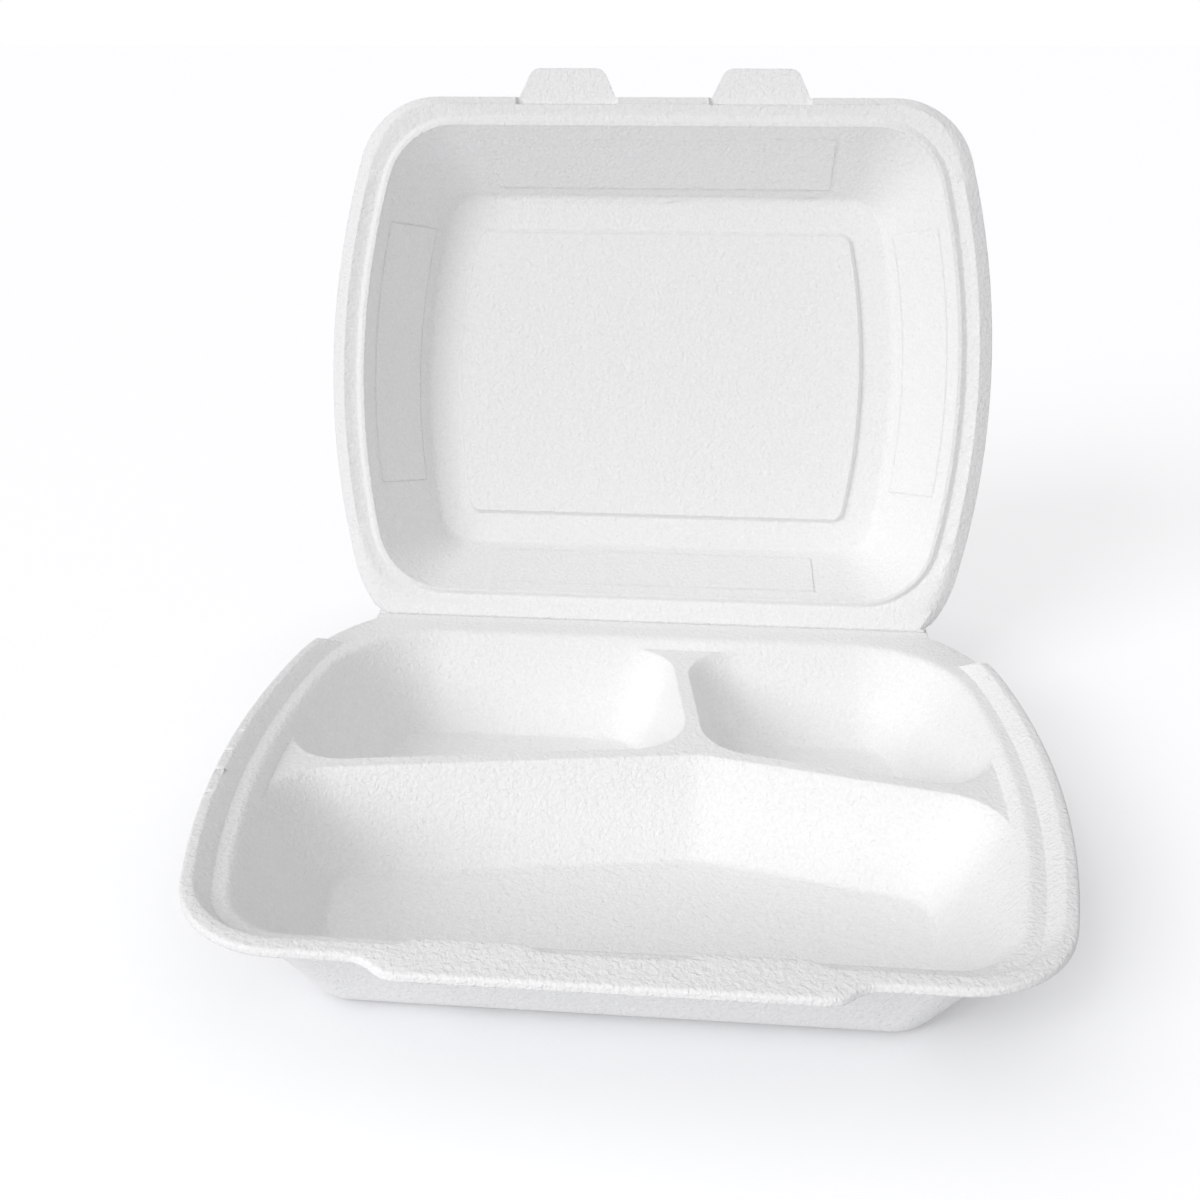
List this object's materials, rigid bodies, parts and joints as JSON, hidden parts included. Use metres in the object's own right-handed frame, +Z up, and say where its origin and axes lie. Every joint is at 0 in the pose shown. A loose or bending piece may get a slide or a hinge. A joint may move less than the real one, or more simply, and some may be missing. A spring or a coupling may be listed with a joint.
{
  "type": "foam menu box",
  "caption": "Hinged take-away box of white foam with a bow-sided tray split into pockets by bent ridges, and a shallow lid with lock tabs, hinged at the back.",
  "frame": {"origin": "on the table, in the middle of the front pocket's flat underside", "axes": "+Z up, +Y to the back where the lid hinges, +X to the right seen from the front"},
  "size_m": [0.245, 0.2634, 0.2217],
  "materials": {
    "foam": "matte, finely grained expanded foam"
  },
  "bodies": {
    "tray": {"tray": "foam"},
    "lid": {"lid": "foam"}
  },
  "joints": [
    {"name": "lid_hinge", "type": "hinge", "parent": "tray", "child": "lid", "pos_m": [0, 0.1315, 0.036], "axis": [1, 0, 0], "range_deg": [-75, 105]}
  ]
}
